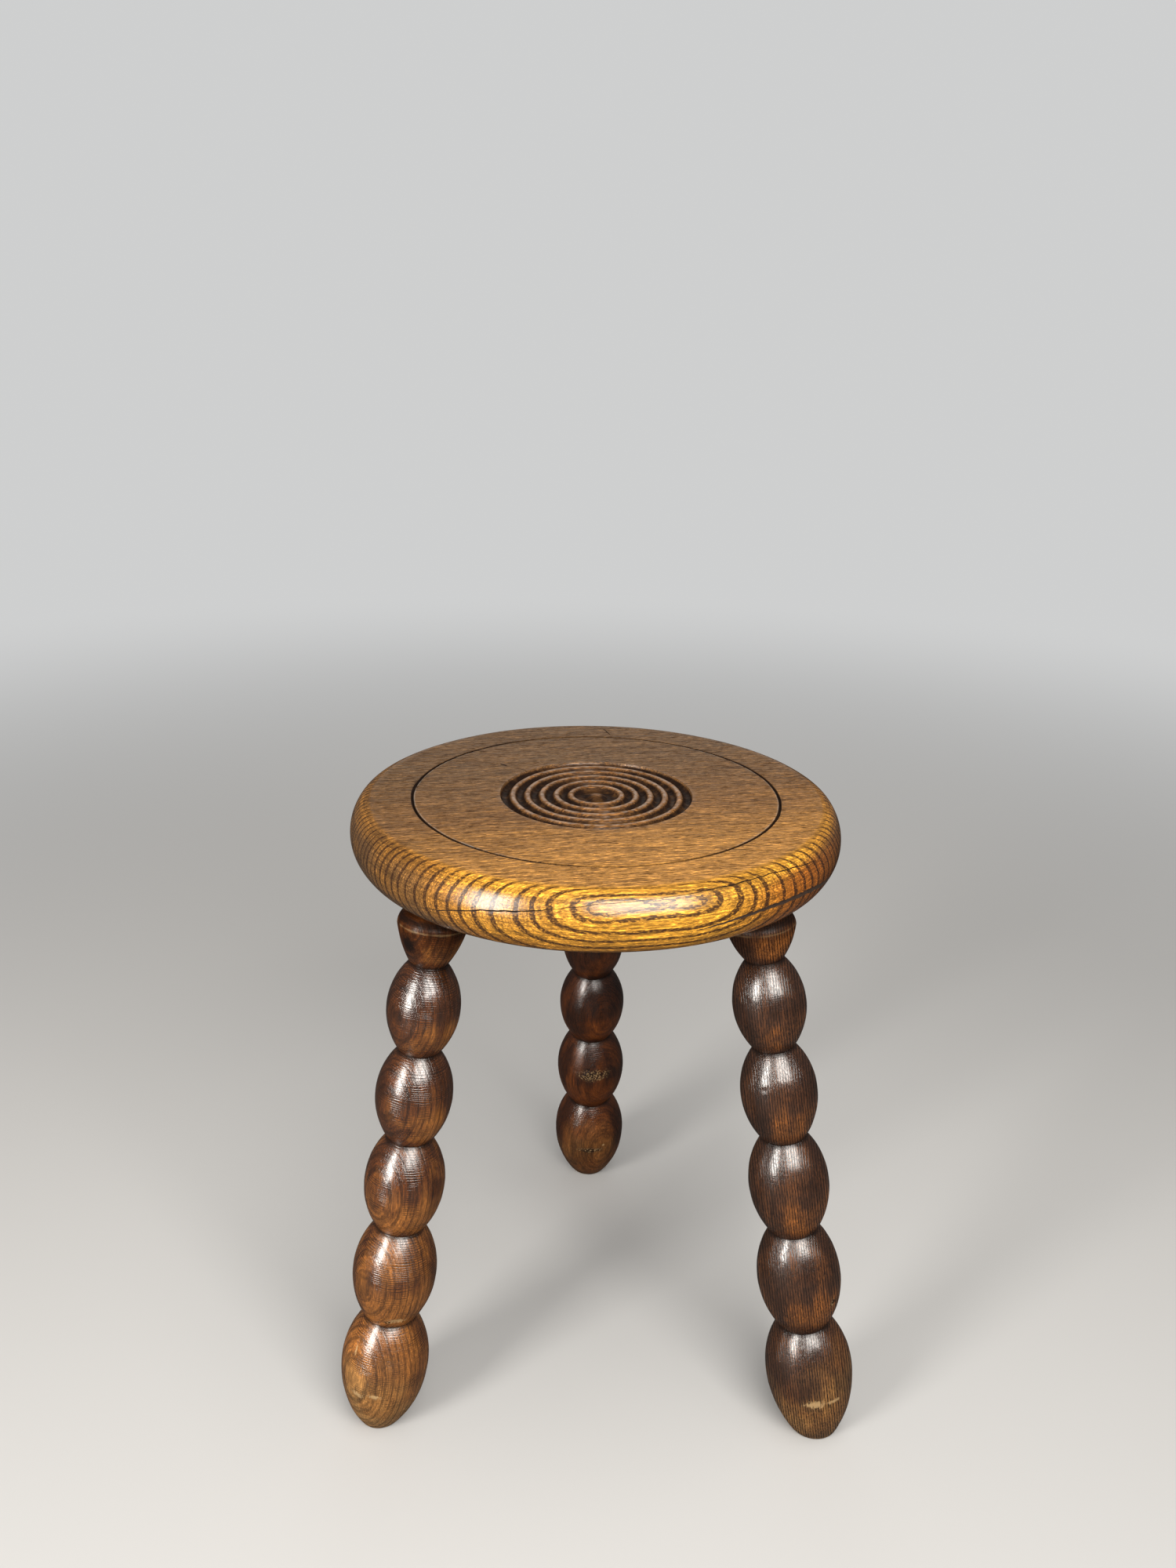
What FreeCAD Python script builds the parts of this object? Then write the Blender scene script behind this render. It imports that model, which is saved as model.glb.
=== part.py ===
import FreeCAD, Part
import math
import os

# A three-legged turned oak stool: one round seat on three legs turned as strings of beads.
# The origin is on the floor, on the seat's axis. +Z is up, and the front of the stool faces -Y.
# All lengths are in millimetres and all angles in degrees.

# Seat: a turned disc with a rounded rim, whose middle stands out a little past its corners
seat_diameter = 300.0
seat_height = 407.0
seat_thickness = 37.0
rim_corner_radius = 11.0
rim_crown = 2.5

# Scribed line round the top
scribe_inset = 37.7
scribe_width = 2.0
scribe_depth = 1.3

# Turned rings in the middle of the top: a cove at the wall, ridges and coves, a moat and a boss
recess_radius = 59.2
recess_wall_run = 3.4
ring_sink = 0.4
ring_height = 2.8
ring_count = 5
moat_pitch_share = 1.25
boss_radius = 7.0
boss_height = 2.4

# Round tenons of the legs, glued into blind holes in the underside
tenon_diameter = 24.0
tenon_length = 26.0
tenon_bevel = 1.5
glue_gap = 0.1
glue_pocket = 1.0

# Stance of each leg: the seat was bored by hand, so no two legs agree.
# An inset is from the seat's rim to the bore, and a spread is how far the foot stands past it.
left_azimuth, left_inset, left_spread = 213.6, 39.9, 51.3
right_azimuth, right_inset, right_spread = 330.1, 40.5, 67.1
rear_azimuth, rear_inset, rear_spread = 89.5, 32.9, 63.1

# Turning of each leg: its necks were set out by eye too, as shares of its length from the
# underside of the seat to the floor, and its foot was sawn off to stand level.
left_neck_shares, left_trim = (0.128, 0.281, 0.440, 0.607, 0.783), 5.0
right_neck_shares, right_trim = (0.117, 0.269, 0.431, 0.604, 0.786), 10.0
rear_neck_shares, rear_trim = (0.121, 0.274, 0.440, 0.605, 0.784), 5.5

# Leg outline, from the underside of the seat down to the floor
collar_radius = 14.5
shoulder_height = 9.3
top_bead_radius = 20.8
top_bead_drop = 23.4
cup_bulge = 1.2
upper_neck_radius = 11.3
lower_neck_radius = 16.0
upper_bead_radius = 22.1
foot_bead_radius = 27.8
bead_crest_share = 0.5
foot_crest_share = 0.43
foot_tip_radius = 8.0
foot_edge_radius = 1.5

# How far blanks and cutters run past what they meet
overrun = 20.0

seat_radius = seat_diameter / 2
underside = seat_height - seat_thickness
tenon_radius = tenon_diameter / 2

stances = {
    "leg_front_left": (left_azimuth, left_inset, left_spread),
    "leg_front_right": (right_azimuth, right_inset, right_spread),
    "leg_rear": (rear_azimuth, rear_inset, rear_spread),
}
turnings = {
    "leg_front_left": (left_neck_shares, left_trim),
    "leg_front_right": (right_neck_shares, right_trim),
    "leg_rear": (rear_neck_shares, rear_trim),
}

outward = FreeCAD.Vector(1, 0, 0)
upward = FreeCAD.Vector(0, 0, 1)


def at(radius, height):
    """A point of an outline that is turned about the Z axis."""
    return FreeCAD.Vector(radius, 0, height)


def between(start, end, share):
    return start + (end - start) * share


def lines(*points):
    """Straight edges from each point to the next."""
    return [Part.LineSegment(a, b).toShape() for a, b in zip(points, points[1:])]


def arc(start, middle, end):
    return Part.Arc(start, middle, end).toShape()


def settling_arc(start, end, direction):
    """The arc from start to end that runs along the direction where it ends."""
    chord = end - start
    normal = direction.cross(FreeCAD.Vector(0, 1, 0))
    radius = -chord.Length ** 2 / (2 * chord.dot(normal))
    centre = end + normal * radius
    to_middle = between(start, end, 0.5) - centre
    return arc(start, centre + to_middle.normalize() * abs(radius), end)


def turned(edges):
    """The solid that an outline, in order and closed, sweeps in one turn about the Z axis."""
    return Part.Face(Part.Wire(edges)).revolve(at(0, 0), upward, 360)


def rim_edges():
    """The rounded rim, from the underside up: a corner arc, one fuller arc and a corner arc."""
    inset = rim_corner_radius + rim_crown
    rise = seat_thickness / 2 - rim_corner_radius
    middle = underside + seat_thickness / 2
    # the fuller arc touches both corner arcs and the widest line of the rim with no break
    full_radius = (inset ** 2 + rise ** 2 - rim_corner_radius ** 2) / (2 * rim_crown)
    turn = math.atan2(rise, full_radius - inset)
    joint_radius = seat_radius - full_radius + full_radius * math.cos(turn)
    joint_rise = full_radius * math.sin(turn)
    low_joint = at(joint_radius, middle - joint_rise)
    top_joint = at(joint_radius, middle + joint_rise)
    return [
        settling_arc(low_joint, at(seat_radius - inset, underside), outward),
        arc(low_joint, at(seat_radius, middle), top_joint),
        settling_arc(top_joint, at(seat_radius - inset, seat_height), outward),
    ]


def scribe_edges():
    """The scribed line on the top, a small V, from its outer edge inwards."""
    radius = seat_radius - scribe_inset
    return lines(
        at(radius + scribe_width / 2, seat_height),
        at(radius, seat_height - scribe_depth),
        at(radius - scribe_width / 2, seat_height),
    )


def ring_edges():
    """The turned middle of the top, from the wall of the recess in to the axis."""
    crest = seat_height - ring_sink
    trough = crest - ring_height
    halfway = (crest + trough) / 2
    outer_trough = recess_radius - recess_wall_run
    pitch = outer_trough / (ring_count + moat_pitch_share)
    edges = [settling_arc(at(recess_radius, seat_height), at(outer_trough, trough), outward)]
    for ring in range(ring_count):
        cove = outer_trough - ring * pitch
        outer_joint = at(cove - pitch / 4, halfway)
        inner_joint = at(cove - pitch * 3 / 4, halfway)
        edges.append(settling_arc(outer_joint, at(cove, trough), outward))
        edges.append(arc(outer_joint, at(cove - pitch / 2, crest), inner_joint))
        edges.append(settling_arc(inner_joint, at(cove - pitch, trough), outward))
    edges += lines(at(moat_pitch_share * pitch, trough), at(boss_radius, trough))
    edges.append(settling_arc(at(boss_radius, trough), at(0, trough + boss_height), outward))
    return edges


def leg_frame(azimuth, inset, spread):
    """The place of a leg: its own axis is Z, and its zero is at the underside of the seat."""
    direction = FreeCAD.Vector(math.cos(math.radians(azimuth)), math.sin(math.radians(azimuth)), 0)
    bore = direction * (seat_radius - inset) + upward * underside
    foot = direction * (seat_radius - inset + spread)
    return FreeCAD.Placement(bore, FreeCAD.Rotation(upward, bore - foot))


def make_seat():
    inset = rim_corner_radius + rim_crown
    scribe_radius = seat_radius - scribe_inset
    edges = lines(at(0, underside), at(seat_radius - inset, underside))
    edges += rim_edges()
    edges += lines(at(seat_radius - inset, seat_height),
                   at(scribe_radius + scribe_width / 2, seat_height))
    edges += scribe_edges()
    edges += lines(at(scribe_radius - scribe_width / 2, seat_height),
                   at(recess_radius, seat_height))
    edges += ring_edges()
    edges += lines(edges[-1].Vertexes[-1].Point, at(0, underside))
    seat = turned(edges)
    for stance in stances.values():
        bore = Part.makeCylinder(tenon_radius + glue_gap, overrun + tenon_length + glue_pocket,
                                 at(0, -overrun))
        bore.Placement = leg_frame(*stance)
        seat = seat.cut(bore)
    return seat


def bead_edges(upper_neck, lower_neck, crest_radius, crest_share):
    """One bead: an arc out from the neck above to its fullest line, and an arc back in."""
    crest = at(crest_radius, between(upper_neck, lower_neck, crest_share).z)
    return [settling_arc(upper_neck, crest, upward), settling_arc(lower_neck, crest, upward)]


def leg_edges(length, neck_shares, trim):
    """The outline of a leg, from the top of its blank down past the floor to its untrimmed foot."""
    shoulder = at(collar_radius, shoulder_height - top_bead_drop)
    top_bead = at(top_bead_radius, -top_bead_drop)
    last = len(neck_shares) - 1
    necks = [
        at(upper_neck_radius + (lower_neck_radius - upper_neck_radius) * i / last, -share * length)
        for i, share in enumerate(neck_shares)
    ]
    cup = between(top_bead, necks[0], 0.5)
    bulge = (necks[0] - top_bead).cross(FreeCAD.Vector(0, 1, 0)).normalize() * cup_bulge
    edges = lines(at(0, overrun), at(collar_radius, overrun), shoulder)
    edges.append(settling_arc(shoulder, top_bead, upward))
    edges.append(arc(top_bead, cup + bulge, necks[0]))
    for i in range(last):
        crest_radius = upper_bead_radius + (foot_bead_radius - upper_bead_radius) * i / last
        edges += bead_edges(necks[i], necks[i + 1], crest_radius, bead_crest_share)
    foot_crest = at(foot_bead_radius, between(necks[last], at(0, -length), foot_crest_share).z)
    foot_tip = at(foot_tip_radius, -length - trim)
    edges.append(settling_arc(necks[last], foot_crest, upward))
    edges.append(settling_arc(foot_tip, foot_crest, upward))
    edges += lines(foot_tip, at(0, -length - trim), at(0, overrun))
    return edges


def tenon_edges():
    return lines(
        at(0, tenon_length),
        at(tenon_radius - tenon_bevel, tenon_length),
        at(tenon_radius, tenon_length - tenon_bevel),
        at(tenon_radius, -collar_radius),
        at(0, -collar_radius),
        at(0, tenon_length),
    )


def make_leg(stance, turning):
    """A turned leg, its shoulder sawn to the underside of the seat and its foot to the floor."""
    reach = 2 * seat_diameter
    azimuth, inset, spread = stance
    body = turned(leg_edges(math.hypot(underside, spread), *turning))
    body.Placement = leg_frame(*stance)
    tenon = turned(tenon_edges())
    tenon.Placement = leg_frame(*stance)
    room = Part.makeBox(reach, reach, underside, FreeCAD.Vector(-reach / 2, -reach / 2, 0))
    leg = body.common(room).fuse(tenon).removeSplitter()
    sole = min(leg.Faces, key=lambda face: face.CenterOfMass.z)
    return leg.makeFillet(foot_edge_radius, sole.Edges)


def save(name, shape):
    solid = shape.Solids[0]
    solid.exportStep("parts/" + name + ".step")


os.makedirs("parts", exist_ok=True)
save("seat", make_seat())
for name, stance in stances.items():
    save(name, make_leg(stance, turnings[name]))
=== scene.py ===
import math

import bpy
import numpy as np
from mathutils import Matrix, Vector, noise


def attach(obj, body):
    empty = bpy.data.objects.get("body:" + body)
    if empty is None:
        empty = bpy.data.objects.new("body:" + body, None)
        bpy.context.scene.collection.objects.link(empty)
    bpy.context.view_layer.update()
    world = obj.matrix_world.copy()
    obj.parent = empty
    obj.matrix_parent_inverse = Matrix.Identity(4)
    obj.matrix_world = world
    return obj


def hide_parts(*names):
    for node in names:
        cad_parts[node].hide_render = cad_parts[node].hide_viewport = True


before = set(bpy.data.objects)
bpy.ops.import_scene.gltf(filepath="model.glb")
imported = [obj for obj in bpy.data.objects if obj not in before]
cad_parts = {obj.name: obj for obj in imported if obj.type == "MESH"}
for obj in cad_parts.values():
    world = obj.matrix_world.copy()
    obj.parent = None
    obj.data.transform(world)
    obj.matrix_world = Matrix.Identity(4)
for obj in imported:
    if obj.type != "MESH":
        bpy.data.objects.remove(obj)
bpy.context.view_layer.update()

# Lengths are in millimetres and angles in degrees. Meshes are scaled to metres when they are made.
MM = 0.001
UP = Vector((0, 0, 1))

# The stool, as its solids are built
SEAT_RADIUS, SEAT_TOP, UNDERSIDE = 150.0, 407.0, 370.0
RIM_CORNER_RADIUS, RIM_CROWN = 11.0, 2.5
SCRIBE_RADIUS, SCRIBE_WIDTH, SCRIBE_DEPTH = 112.3, 2.0, 1.3
RECESS_RADIUS, RECESS_WALL_RUN = 59.2, 3.4
RING_SINK, RING_HEIGHT, RING_COUNT, MOAT_PITCH_SHARE = 0.4, 2.8, 5, 1.25
BOSS_RADIUS, BOSS_HEIGHT = 7.0, 2.4
TENON_RADIUS, TENON_LENGTH, TENON_BEVEL, GLUE_GAP, GLUE_POCKET = 12.0, 26.0, 1.5, 0.1, 1.0
COLLAR_RADIUS, SHOULDER_HEIGHT = 14.5, 9.3
TOP_BEAD_RADIUS, TOP_BEAD_DROP, CUP_BULGE = 20.8, 23.4, 1.2
UPPER_NECK_RADIUS, LOWER_NECK_RADIUS = 11.3, 16.0
UPPER_BEAD_RADIUS, FOOT_BEAD_RADIUS = 22.1, 27.8
FOOT_CREST_SHARE, FOOT_TIP_RADIUS, FOOT_EDGE_RADIUS = 0.43, 8.0, 1.5

# Each leg: azimuth, inset of its bore from the rim, spread of its foot past the bore
STANCES = {
    "leg_front_left": (213.6, 39.9, 51.3),
    "leg_front_right": (330.1, 40.5, 67.1),
    "leg_rear": (89.5, 32.9, 63.1),
}
# Each leg's necks, as shares of its length down to the floor, and how much its foot was trimmed
TURNINGS = {
    "leg_front_left": ((0.128, 0.281, 0.440, 0.607, 0.783), 5.0),
    "leg_front_right": ((0.117, 0.269, 0.431, 0.604, 0.786), 10.0),
    "leg_rear": ((0.121, 0.274, 0.440, 0.605, 0.784), 5.5),
}
LEG_LENGTHS = {name: math.hypot(UNDERSIDE, spread) for name, (azimuth, inset, spread) in STANCES.items()}
NECK_DROPS = {
    name: [share * LEG_LENGTHS[name] for share in shares] for name, (shares, trim) in TURNINGS.items()
}

# How fine the turned meshes are
SEAT_SEGMENTS, LEG_SEGMENTS, BORE_SEGMENTS = 384, 144, 64
FLAT_STEP, RIM_STEP, RING_STEP, LEG_STEP, SCRIBE_STEP = 3.0, 0.85, 0.7, 1.3, 0.25
# Faces that meet at more than this angle are shaded with an edge
SHARP_ANGLE = 38.0
# How far the cutters of the bores and the cracks stand out of the faces that they cut
BORE_OVERRUN, CRACK_OVERRUN = 20.0, 1.0

# Camera
CAMERA_PLACE = (-5.2, -733.0, 680.1)
CAMERA_PITCH, CAMERA_ROLL = 20.03, 1.18
FOCAL_PIXELS, IMAGE_HEIGHT, SENSOR = 1620.3, 2000, 36.0


# Outlines: runs of points (radius, height) that are turned about an axis

def line(start, end, step):
    length = math.dist(start, end)
    return np.linspace(start, end, max(math.ceil(length / step), 1) + 1)


def settling_arc(start, end, direction, step):
    """Points on the arc from start to end that runs along the direction where it ends."""
    start, end = np.array(start), np.array(end)
    chord, normal = end - start, np.array([-direction[1], direction[0]])
    radius = -chord @ chord / (2 * chord @ normal)
    centre = end + normal * radius
    first = math.atan2(*(start - centre)[::-1])
    last = math.atan2(*(end - centre)[::-1])
    sweep = (last - first + math.pi) % (2 * math.pi) - math.pi
    angles = first + sweep * np.linspace(0, 1, max(math.ceil(abs(radius * sweep) / step), 2) + 1)
    return centre + abs(radius) * np.column_stack([np.cos(angles), np.sin(angles)])


def joined(*runs):
    """One outline from runs that each start where the one before ends."""
    return np.concatenate([runs[0]] + [run[1:] for run in runs[1:]])


def rim_outline():
    """The rounded rim from the underside up: a corner arc, one fuller arc and a corner arc."""
    inset = RIM_CORNER_RADIUS + RIM_CROWN
    rise = (SEAT_TOP - UNDERSIDE) / 2 - RIM_CORNER_RADIUS
    middle = (SEAT_TOP + UNDERSIDE) / 2
    full_radius = (inset ** 2 + rise ** 2 - RIM_CORNER_RADIUS ** 2) / (2 * RIM_CROWN)
    turn = math.atan2(rise, full_radius - inset)
    joint_radius = SEAT_RADIUS - full_radius * (1 - math.cos(turn))
    joint_rise = full_radius * math.sin(turn)
    low_joint, top_joint = (joint_radius, middle - joint_rise), (joint_radius, middle + joint_rise)
    widest = (SEAT_RADIUS, middle)
    return joined(
        settling_arc(low_joint, (SEAT_RADIUS - inset, UNDERSIDE), (1, 0), RIM_STEP)[::-1],
        settling_arc(low_joint, widest, (0, 1), RIM_STEP),
        settling_arc(top_joint, widest, (0, 1), RIM_STEP)[::-1],
        settling_arc(top_joint, (SEAT_RADIUS - inset, SEAT_TOP), (1, 0), RIM_STEP),
    )


def ring_outline():
    """The turned middle of the top, from the wall of the recess in to the axis."""
    crest = SEAT_TOP - RING_SINK
    trough = crest - RING_HEIGHT
    halfway = (crest + trough) / 2
    outer_trough = RECESS_RADIUS - RECESS_WALL_RUN
    pitch = outer_trough / (RING_COUNT + MOAT_PITCH_SHARE)
    runs = [settling_arc((RECESS_RADIUS, SEAT_TOP), (outer_trough, trough), (1, 0), RING_STEP)]
    for ring in range(RING_COUNT):
        cove = outer_trough - ring * pitch
        ridge, next_cove = (cove - pitch / 2, crest), (cove - pitch, trough)
        outer_joint, inner_joint = (cove - pitch / 4, halfway), (cove - pitch * 3 / 4, halfway)
        runs.append(settling_arc(outer_joint, (cove, trough), (1, 0), RING_STEP)[::-1])
        runs.append(settling_arc(outer_joint, ridge, (1, 0), RING_STEP))
        runs.append(settling_arc(inner_joint, ridge, (1, 0), RING_STEP)[::-1])
        runs.append(settling_arc(inner_joint, next_cove, (1, 0), RING_STEP))
    boss_edge, boss_top = (BOSS_RADIUS, trough), (0, trough + BOSS_HEIGHT)
    runs.append(line((MOAT_PITCH_SHARE * pitch, trough), boss_edge, RING_STEP))
    runs.append(settling_arc(boss_edge, boss_top, (1, 0), RING_STEP))
    return joined(*runs)


def seat_outline():
    """The whole section of the seat. The scribed line is pressed in later."""
    rim = rim_outline()
    outer, inner = SCRIBE_RADIUS + SCRIBE_WIDTH, SCRIBE_RADIUS - SCRIBE_WIDTH
    return joined(
        line((0, UNDERSIDE), rim[0], FLAT_STEP),
        rim,
        line(rim[-1], (outer, SEAT_TOP), FLAT_STEP),
        line((outer, SEAT_TOP), (inner, SEAT_TOP), SCRIBE_STEP),
        line((inner, SEAT_TOP), (RECESS_RADIUS, SEAT_TOP), FLAT_STEP),
        ring_outline(),
    )


def leg_outline(name):
    """A leg from the tip of its foot up to its tenon. Zero is at the underside of the seat."""
    length, drops, trim = LEG_LENGTHS[name], NECK_DROPS[name], TURNINGS[name][1]
    last = len(drops) - 1
    necks = [
        (UPPER_NECK_RADIUS + (LOWER_NECK_RADIUS - UPPER_NECK_RADIUS) * i / last, -drop)
        for i, drop in enumerate(drops)
    ]
    foot_crest = (FOOT_BEAD_RADIUS, necks[last][1] * (1 - FOOT_CREST_SHARE) - length * FOOT_CREST_SHARE)
    foot_tip = (FOOT_TIP_RADIUS, -length - trim)
    runs = [
        line((0, foot_tip[1]), foot_tip, LEG_STEP),
        settling_arc(foot_tip, foot_crest, (0, 1), LEG_STEP / 2),
        settling_arc(necks[last], foot_crest, (0, 1), LEG_STEP)[::-1],
    ]
    for i in reversed(range(last)):
        crest_radius = UPPER_BEAD_RADIUS + (FOOT_BEAD_RADIUS - UPPER_BEAD_RADIUS) * i / last
        crest = (crest_radius, (necks[i][1] + necks[i + 1][1]) / 2)
        runs.append(settling_arc(necks[i + 1], crest, (0, 1), LEG_STEP))
        runs.append(settling_arc(necks[i], crest, (0, 1), LEG_STEP)[::-1])
    top_bead = (TOP_BEAD_RADIUS, -TOP_BEAD_DROP)
    shoulder = (COLLAR_RADIUS, SHOULDER_HEIGHT - TOP_BEAD_DROP)
    slope = np.subtract(top_bead, necks[0])
    cup = line(necks[0], top_bead, LEG_STEP)
    swell = 4 * np.linspace(0, 1, len(cup)) * np.linspace(1, 0, len(cup))
    cup += CUP_BULGE * swell[:, None] * np.array([slope[1], -slope[0]]) / np.hypot(*slope)
    runs.append(cup)
    runs.append(settling_arc(shoulder, top_bead, (0, 1), LEG_STEP / 2)[::-1])
    runs.append(line(shoulder, (COLLAR_RADIUS, 0), LEG_STEP))
    runs.append(line((COLLAR_RADIUS, 0), (TENON_RADIUS, 0), LEG_STEP))
    runs.append(line((TENON_RADIUS, 0), (TENON_RADIUS, TENON_LENGTH - TENON_BEVEL), FLAT_STEP))
    runs.append(line((TENON_RADIUS, TENON_LENGTH - TENON_BEVEL),
                     (TENON_RADIUS - TENON_BEVEL, TENON_LENGTH), LEG_STEP))
    runs.append(line((TENON_RADIUS - TENON_BEVEL, TENON_LENGTH), (0, TENON_LENGTH), FLAT_STEP))
    return joined(*runs)


# Meshes

def turned(outline, segments):
    """Points and faces of an outline turned about Z. It starts and ends on the axis."""
    rings = outline[1:-1]
    angles = np.linspace(0, 2 * math.pi, segments, endpoint=False)
    radius, height = rings[:, :1], rings[:, 1:]
    points = np.stack([radius * np.cos(angles), radius * np.sin(angles), height + 0 * angles], axis=-1)
    points = points.reshape(-1, 3)
    first = len(points)
    points = np.vstack([points, (0, 0, outline[0][1]), (0, 0, outline[-1][1])])
    here = np.arange(segments)
    there = (here + 1) % segments
    faces = []
    for ring in range(len(rings) - 1):
        low, high = ring * segments, (ring + 1) * segments
        faces += np.column_stack([low + here, low + there, high + there, high + here]).tolist()
    top = (len(rings) - 1) * segments
    faces += [(first, int(b), int(a)) for a, b in zip(here, there)]
    faces += [(first + 1, int(top + a), int(top + b)) for a, b in zip(here, there)]
    return points, faces


def moved(points, place):
    """Points of a turning, taken to their place by a matrix in millimetres."""
    matrix = np.array(place)
    return points @ matrix[:3, :3].T + matrix[:3, 3]


def make_object(name, points, faces, materials=()):
    mesh = bpy.data.meshes.new(name)
    mesh.from_pydata((np.asarray(points) * MM).tolist(), [], faces)
    for material in materials:
        mesh.materials.append(material)
    made = bpy.data.objects.new(name, mesh)
    bpy.context.scene.collection.objects.link(made)
    return made


def swings(points, sizes, seed=0.0):
    """Smooth noise at each point, about -1 to 1, with swings of about sizes (x, y, z)."""
    return np.array([noise.noise(Vector(point)) for point in points / np.array(sizes) + seed])


def cut(target, cutters):
    """Takes closed cutters out of a closed mesh. The cut faces get its second material."""
    points, faces, start = [], [], 0
    for cutter_points, cutter_faces in cutters:
        points.append(cutter_points)
        faces += [[start + corner for corner in face] for face in cutter_faces]
        start += len(cutter_points)
    cutter = make_object("cutter", np.vstack(points), faces, target.data.materials)
    cutter.data.polygons.foreach_set("material_index", [1] * len(faces))
    tool = target.modifiers.new("cut", "BOOLEAN")
    tool.object, tool.solver, tool.operation = cutter, "MANIFOLD", "DIFFERENCE"
    shown = target.evaluated_get(bpy.context.evaluated_depsgraph_get())
    whole = bpy.data.meshes.new_from_object(shown)
    target.modifiers.clear()
    target.data = whole
    bpy.data.objects.remove(cutter)


def set_value(mesh, name, values):
    mesh.attributes.new(name, "FLOAT", "POINT").data.foreach_set("value", np.asarray(values, float))


def mesh_points(mesh):
    """The mesh's own points, in millimetres."""
    flat = np.empty(3 * len(mesh.vertices))
    mesh.vertices.foreach_get("co", flat)
    return flat.reshape(-1, 3) / MM


def finish_piece(piece, node):
    piece.data.shade_smooth()
    piece.data.set_sharp_from_angle(angle=math.radians(SHARP_ANGLE))
    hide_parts(node)
    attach(piece, "root")


def smooth(values, low, high):
    """0 below low, 1 above high and an even ramp with soft ends between. low may be the larger."""
    share = np.clip((values - low) / (high - low), 0, 1)
    return share * share * (3 - 2 * share)


# Places

def leg_place(azimuth, inset, spread):
    """A leg's own frame: X away from the stool's axis, Z up the leg, zero at the underside."""
    outward = Vector((math.cos(math.radians(azimuth)), math.sin(math.radians(azimuth)), 0))
    bore = outward * (SEAT_RADIUS - inset) + UP * UNDERSIDE
    foot = outward * (SEAT_RADIUS - inset + spread)
    axis = (bore - foot).normalized()
    side = UP.cross(outward)
    return Matrix.Translation(bore) @ Matrix((side.cross(axis), side, axis)).transposed().to_4x4()


PLACES = {name: leg_place(*stance) for name, stance in STANCES.items()}


# Wood. A grain frame has X along the grain, Y across the rings and its zero on the bark side.

# The direction of the seat's grain, how far behind the front of the rim its first rings start, and
# how wide the others are
SEAT_GRAIN = 11.0
SEAT_RING_DEPTHS = (0.1, 0.8, 3.5, 7.2, 11.5, 19.5, 26.5, 33.5, 40.0, 46.5, 52.5, 58.5, 64.5)
SEAT_RING_WIDTH = 5.3
# The rings lean out at the front, and bow out in its middle
RING_LEAN_SHARE, RING_BOW, RING_BOW_REACH, RING_BOW_DEPTH = 0.53, 6.5, 62.0, 50.0
RING_FRONT_OFFSET = 3.2

seat_grain = Matrix.Translation((0, 0, UNDERSIDE)) @ Matrix.Rotation(math.radians(SEAT_GRAIN), 4, "Z")


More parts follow.
